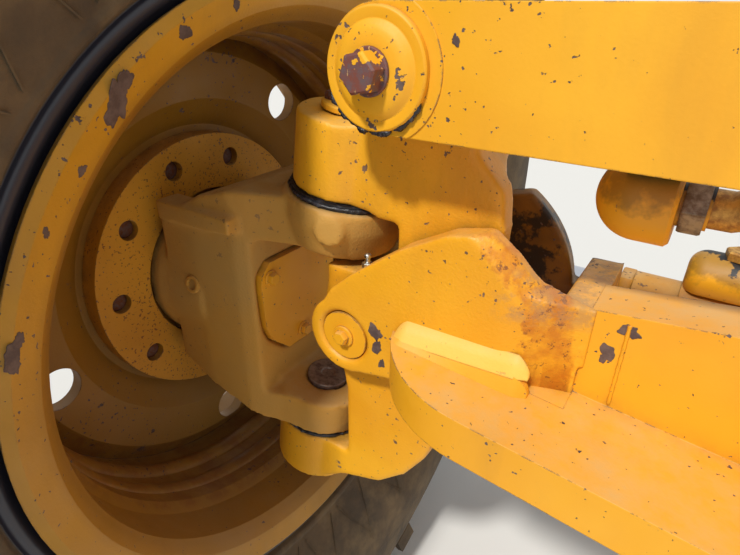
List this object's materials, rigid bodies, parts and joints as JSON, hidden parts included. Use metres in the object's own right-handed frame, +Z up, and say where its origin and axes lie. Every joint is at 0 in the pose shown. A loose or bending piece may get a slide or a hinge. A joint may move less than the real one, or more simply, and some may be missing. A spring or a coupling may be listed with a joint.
{
  "type": "motor grader front axle",
  "caption": "Front axle of a motor grader: rocking beam with forked ends, leaning brackets joined by a lean bar, kingpin knuckles, steering and lean cylinders, tie rod, hubs, rims and tyres",
  "frame": {"origin": "middle of the bore of the axle's rocking pivot", "axes": "X along the axle from the left wheel to the right wheel, -Y the front, +Z up"},
  "size_m": [2.515, 1.3634, 1.3634],
  "materials": {
    "paint": "chipped",
    "steel": "worn",
    "chrome": "polished",
    "tyre": "dusty"
  },
  "bodies": {
    "axle": {"axle_beam": "paint", "pivot_bush": "steel", "left_fork": "paint", "right_fork": "paint", "left_lean_pin": "paint", "right_lean_pin": "paint", "left_steer_barrel": "paint", "right_steer_barrel": "paint"},
    "bracket_left": {"left_bracket": "paint", "left_kingpins": "steel", "left_bar_pin": "paint"},
    "bracket_right": {"right_bracket": "paint", "right_kingpins": "steel", "right_bar_pin": "paint"},
    "lean_bar": {"lean_bar": "paint", "lean_lock_valve": "paint"},
    "lean_barrel": {"lean_barrel": "paint"},
    "lean_rod": {"lean_rod": "chrome"},
    "knuckle_left": {"left_knuckle": "paint", "left_knuckle_cover": "paint", "left_steer_ball": "steel"},
    "knuckle_right": {"right_knuckle": "paint", "right_knuckle_cover": "paint", "right_steer_ball": "steel"},
    "wheel_left": {"left_hub": "paint", "left_rim": "paint", "left_tyre": "tyre"},
    "wheel_right": {"right_hub": "paint", "right_rim": "paint", "right_tyre": "tyre"},
    "tie_ball": {"left_tie_ball": "steel"},
    "tie_rod": {"tie_rod": "paint"},
    "steer_rod_left": {"left_steer_rod": "chrome"},
    "steer_rod_right": {"right_steer_rod": "chrome"}
  },
  "joints": [
    {"name": "lean_left", "type": "hinge", "parent": "axle", "child": "bracket_left", "pos_m": [-0.847, 0, -0.058], "axis": [0, 1, 0], "range_deg": [-18, 18]},
    {"name": "lean_right", "type": "hinge", "parent": "axle", "child": "bracket_right", "pos_m": [0.847, 0, -0.058], "axis": [0, 1, 0], "range_deg": [-18, 18]},
    {"name": "lean_bar_turn", "type": "hinge", "parent": "bracket_left", "child": "lean_bar", "pos_m": [-0.799, -0.072, 0.186], "axis": [0, 1, 0], "range_deg": [-19.2, 19.2]},
    {"name": "lean_barrel_swing", "type": "hinge", "parent": "axle", "child": "lean_barrel", "pos_m": [0.17, 0.074, 0.146], "axis": [0, 1, 0], "range_deg": [-3, 3]},
    {"name": "lean_rod_slide", "type": "slide", "parent": "lean_barrel", "child": "lean_rod", "axis": [0.998, 0, 0.0635], "range_m": [-0.0775, 0.0775]},
    {"name": "steer_left", "type": "hinge", "parent": "bracket_left", "child": "knuckle_left", "pos_m": [-0.912, 0, -0.08], "axis": [0.1392, 0, 0.9903], "range_deg": [-45, 45]},
    {"name": "steer_right", "type": "hinge", "parent": "bracket_right", "child": "knuckle_right", "pos_m": [0.912, 0, -0.08], "axis": [-0.1392, 0, 0.9903], "range_deg": [-45, 45]},
    {"name": "tie_ball_turn", "type": "hinge", "parent": "knuckle_left", "child": "tie_ball", "pos_m": [-0.925, 0.175, -0.204], "axis": [0.1391, -0.0257, 0.9899], "range_deg": [-45, 45]},
    {"name": "tie_rod_level", "type": "hinge", "parent": "tie_ball", "child": "tie_rod", "pos_m": [-0.925, 0.175, -0.204], "axis": [0, 1, 0], "range_deg": [-18, 18]},
    {"name": "steer_rod_left_slide", "type": "slide", "parent": "axle", "child": "steer_rod_left", "axis": [1, 0, 0], "range_m": [-0.127, 0.127]},
    {"name": "steer_rod_right_slide", "type": "slide", "parent": "axle", "child": "steer_rod_right", "axis": [1, 0, 0], "range_m": [-0.127, 0.127]},
    {"name": "wheel_left_spin", "type": "hinge", "parent": "knuckle_left", "child": "wheel_left", "pos_m": [-1.07, 0, -0.08], "axis": [1, 0, 0], "continuous": true},
    {"name": "wheel_right_spin", "type": "hinge", "parent": "knuckle_right", "child": "wheel_right", "pos_m": [1.07, 0, -0.08], "axis": [1, 0, 0], "continuous": true}
  ],
  "couplings": [
    {"joint": "lean_right", "follows": "lean_left", "ratio": 1},
    {"joint": "lean_bar_turn", "follows": "lean_left", "ratio": -1.059},
    {"joint": "lean_barrel_swing", "follows": "lean_left", "ratio": -0.0586},
    {"joint": "lean_rod_slide", "follows": "lean_left", "m_per_rad": 0.2418},
    {"joint": "steer_right", "follows": "steer_left", "ratio": 1},
    {"joint": "tie_ball_turn", "follows": "steer_left", "ratio": -1},
    {"joint": "tie_rod_level", "follows": "lean_left", "ratio": -0.9159},
    {"joint": "steer_rod_left_slide", "follows": "steer_left", "m_per_rad": -0.16},
    {"joint": "steer_rod_right_slide", "follows": "steer_left", "m_per_rad": -0.16}
  ]
}
